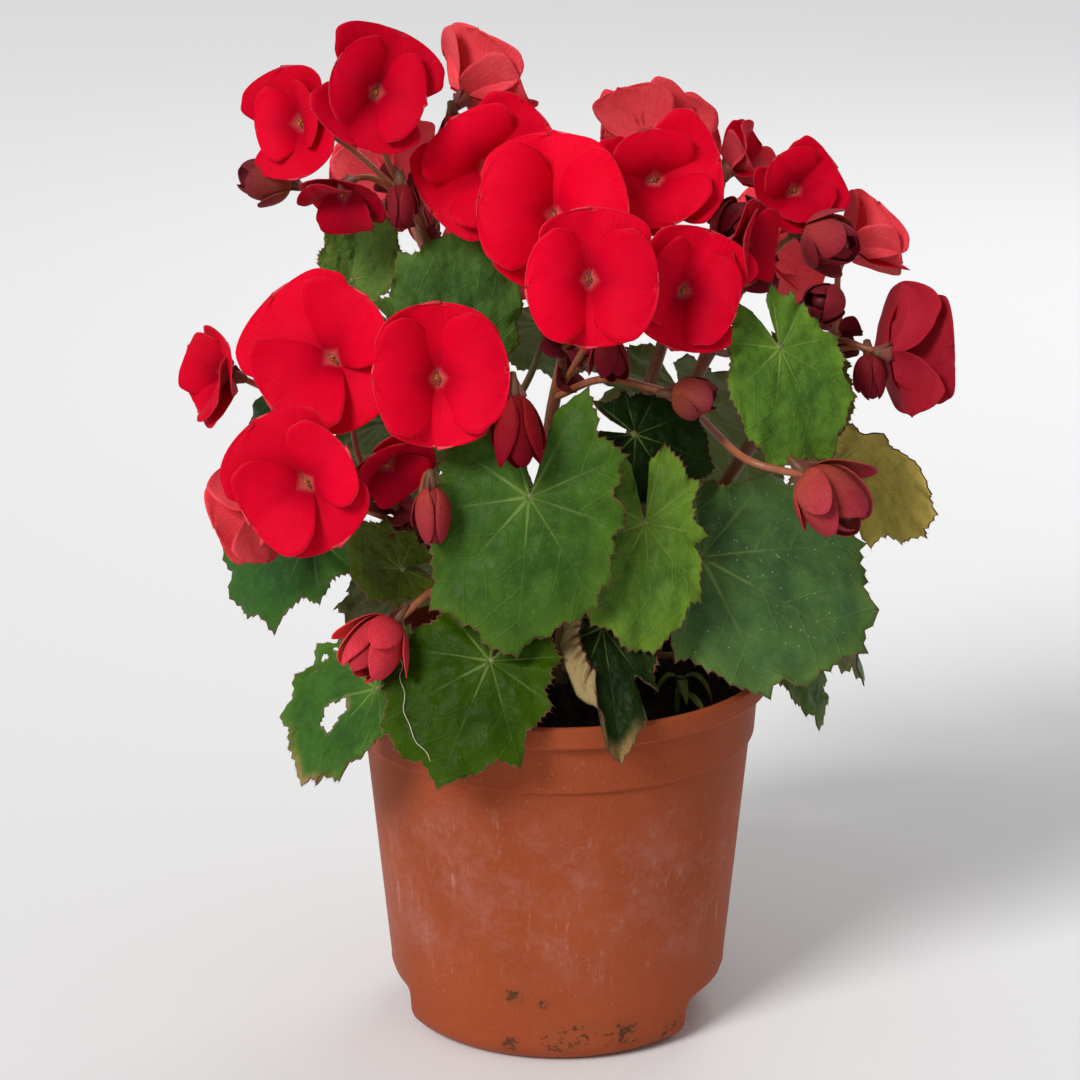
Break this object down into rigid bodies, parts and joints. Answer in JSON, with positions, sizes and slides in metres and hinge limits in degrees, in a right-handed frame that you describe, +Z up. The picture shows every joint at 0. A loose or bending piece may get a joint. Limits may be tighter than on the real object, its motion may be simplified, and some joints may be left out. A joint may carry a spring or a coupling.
{
  "type": "potted begonia",
  "caption": "Red-flowered winter begonia with toothed green leaves, growing in soil in a round brown-red plastic nursery pot.",
  "frame": {"origin": "centre of the pot's underside", "axes": "+Z up, -Y towards the side that faces the viewer, +X to that viewer's right"},
  "size_m": [0.2567, 0.1869, 0.3575],
  "materials": {
    "terracotta_plastic": "satin",
    "potting_soil": "matte",
    "stem_skin": "satin",
    "leaf_green": "satin",
    "petal_red": "matte"
  },
  "bodies": {
    "root": {"bloom_back_left": "petal_red", "bloom_back_low": "petal_red", "bloom_back_right": "petal_red", "bloom_back_side": "petal_red", "bloom_centre": "petal_red", "bloom_centre_rear": "petal_red", "bloom_centre_right": "petal_red", "bloom_front": "petal_red", "bloom_front_far": "petal_red", "bloom_front_low": "petal_red", "bloom_front_rear": "petal_red", "bloom_front_under": "petal_red", "bloom_front_upper": "petal_red", "bloom_left_back": "petal_red", "bloom_left_low": "petal_red", "bloom_left_outer": "petal_red", "bloom_left_top": "petal_red", "bloom_right": "petal_red", "bloom_right_rear": "petal_red", "bloom_right_top": "petal_red", "bloom_right_upper": "petal_red", "bloom_small": "petal_red", "bloom_top_centre": "petal_red", "bloom_top_left": "petal_red", "bloom_top_rear": "petal_red", "leaf_back_centre": "leaf_green", "leaf_back_left": "leaf_green", "leaf_back_right": "leaf_green", "leaf_far_left": "leaf_green", "leaf_far_right": "leaf_green", "leaf_front_centre": "leaf_green", "leaf_front_small": "leaf_green", "leaf_high_back": "leaf_green", "leaf_left": "leaf_green", "leaf_low_back": "leaf_green", "leaf_low_back_left": "leaf_green", "leaf_low_centre": "leaf_green", "leaf_low_dark": "leaf_green", "leaf_low_left": "leaf_green", "leaf_middle_dark": "leaf_green", "leaf_right_large": "leaf_green", "leaf_right_olive": "leaf_green", "leaf_right_under": "leaf_green", "leaf_right_upper": "leaf_green", "leaf_side_left": "leaf_green", "leaf_side_right": "leaf_green", "leaf_top_left": "leaf_green", "leaf_young": "leaf_green", "pot": "terracotta_plastic", "seedling": "leaf_green", "soil": "potting_soil", "stem_back_left": "stem_skin", "stem_back_right": "stem_skin", "stem_centre": "stem_skin", "stem_front_left": "stem_skin", "stem_left": "stem_skin", "stem_right": "stem_skin", "stem_right_top": "stem_skin"}
  },
  "joints": []
}
